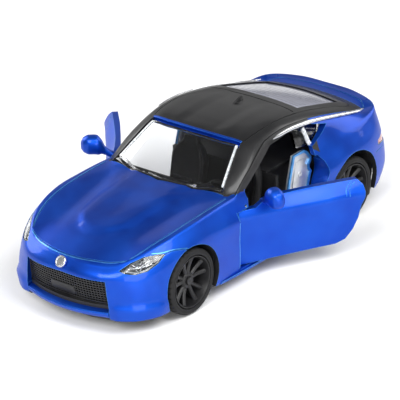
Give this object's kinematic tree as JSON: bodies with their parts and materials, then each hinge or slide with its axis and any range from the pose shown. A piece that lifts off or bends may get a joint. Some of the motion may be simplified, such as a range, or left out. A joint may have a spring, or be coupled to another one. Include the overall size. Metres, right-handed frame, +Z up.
{
  "type": "pull back car",
  "caption": "Toy coupe with opening doors, clear windows, a modelled cabin, rolling wheels and a wind-up spring motor geared to its rear axle",
  "frame": {"origin": "Middle of the bounding box on the ground plane that the tyres stand on, with both doors open as at rest", "axes": "+X points to the car's left, -Y to its nose and +Z up"},
  "size_m": [0.0894, 0.1222, 0.0381],
  "materials": {
    "body_paint": "metallic cobalt blue lacquer on die-cast metal",
    "roof_black": "gloss black",
    "satin_black": "satin black moulded plastic",
    "motor_grey": "charcoal moulded plastic",
    "tyre_rubber": "matte black rubber",
    "clear_plastic": "clear polished plastic",
    "lamp_bowl": "bright plated bowl",
    "silver_trim": "bright silver foil",
    "bright_steel": "bright plated steel",
    "lamp_red": "translucent red",
    "gear_nylon": "natural white nylon",
    "panel_silver": "silver grey moulded plastic"
  },
  "bodies": {
    "car_body": {"body_shell": "body_paint", "chassis_base": "satin_black", "exhaust_tip_left": "bright_steel", "exhaust_tip_right": "bright_steel", "front_badge": "silver_trim", "front_grille": "satin_black", "front_screw": "bright_steel", "glazing": "clear_plastic", "headlamp_left_lens": "clear_plastic", "headlamp_left_reflector": "lamp_bowl", "headlamp_right_lens": "clear_plastic", "headlamp_right_reflector": "lamp_bowl", "interior_tub": "satin_black", "left_hinge_pin": "bright_steel", "mainspring": "bright_steel", "motor_case_left": "motor_grey", "motor_case_right": "motor_grey", "rear_screw": "bright_steel", "right_hinge_pin": "bright_steel", "roof_panel": "roof_black", "roof_trim_left": "silver_trim", "roof_trim_right": "silver_trim", "side_panel_left": "panel_silver", "side_panel_right": "panel_silver", "steering_wheel": "satin_black", "tail_lamp_left": "lamp_red", "tail_lamp_right": "lamp_red"},
    "left_door_body": {"left_door": "body_paint"},
    "right_door_body": {"right_door": "body_paint"},
    "front_wheels": {"front_axle": "bright_steel", "front_rim_left": "roof_black", "front_rim_right": "roof_black", "front_tyre_left": "tyre_rubber", "front_tyre_right": "tyre_rubber"},
    "rear_wheels": {"rear_axle": "bright_steel", "rear_rim_left": "roof_black", "rear_rim_right": "roof_black", "rear_tyre_left": "tyre_rubber", "rear_tyre_right": "tyre_rubber", "axle_pinion": "gear_nylon"},
    "idler": {"idler_gear": "gear_nylon"},
    "drum": {"drum_gear": "gear_nylon"}
  },
  "joints": [
    {"name": "left_door_hinge", "type": "hinge", "parent": "car_body", "child": "left_door_body", "pos_m": [0.0257, -0.0112, 0.013], "axis": [0, 0, 1], "range_deg": [-12.5, 30]},
    {"name": "right_door_hinge", "type": "hinge", "parent": "car_body", "child": "right_door_body", "pos_m": [-0.0213, -0.0112, 0.013], "axis": [0, 0, 1], "range_deg": [-40, 2.5]},
    {"name": "front_axle_spin", "type": "hinge", "parent": "car_body", "child": "front_wheels", "pos_m": [0.0022, -0.0358, 0.0093], "axis": [1, 0, 0], "continuous": true},
    {"name": "rear_axle_spin", "type": "hinge", "parent": "car_body", "child": "rear_wheels", "pos_m": [0.0022, 0.035, 0.0093], "axis": [1, 0, 0], "continuous": true},
    {"name": "idler_spin", "type": "hinge", "parent": "car_body", "child": "idler", "pos_m": [0.0022, 0.028, 0.0134], "axis": [1, 0, 0], "continuous": true},
    {"name": "drum_spin", "type": "hinge", "parent": "car_body", "child": "drum", "pos_m": [0.0022, 0.0191, 0.0115], "axis": [1, 0, 0], "continuous": true}
  ],
  "couplings": [
    {"joint": "idler_spin", "follows": "rear_axle_spin", "ratio": -0.45454},
    {"joint": "drum_spin", "follows": "rear_axle_spin", "ratio": 0.17483}
  ]
}
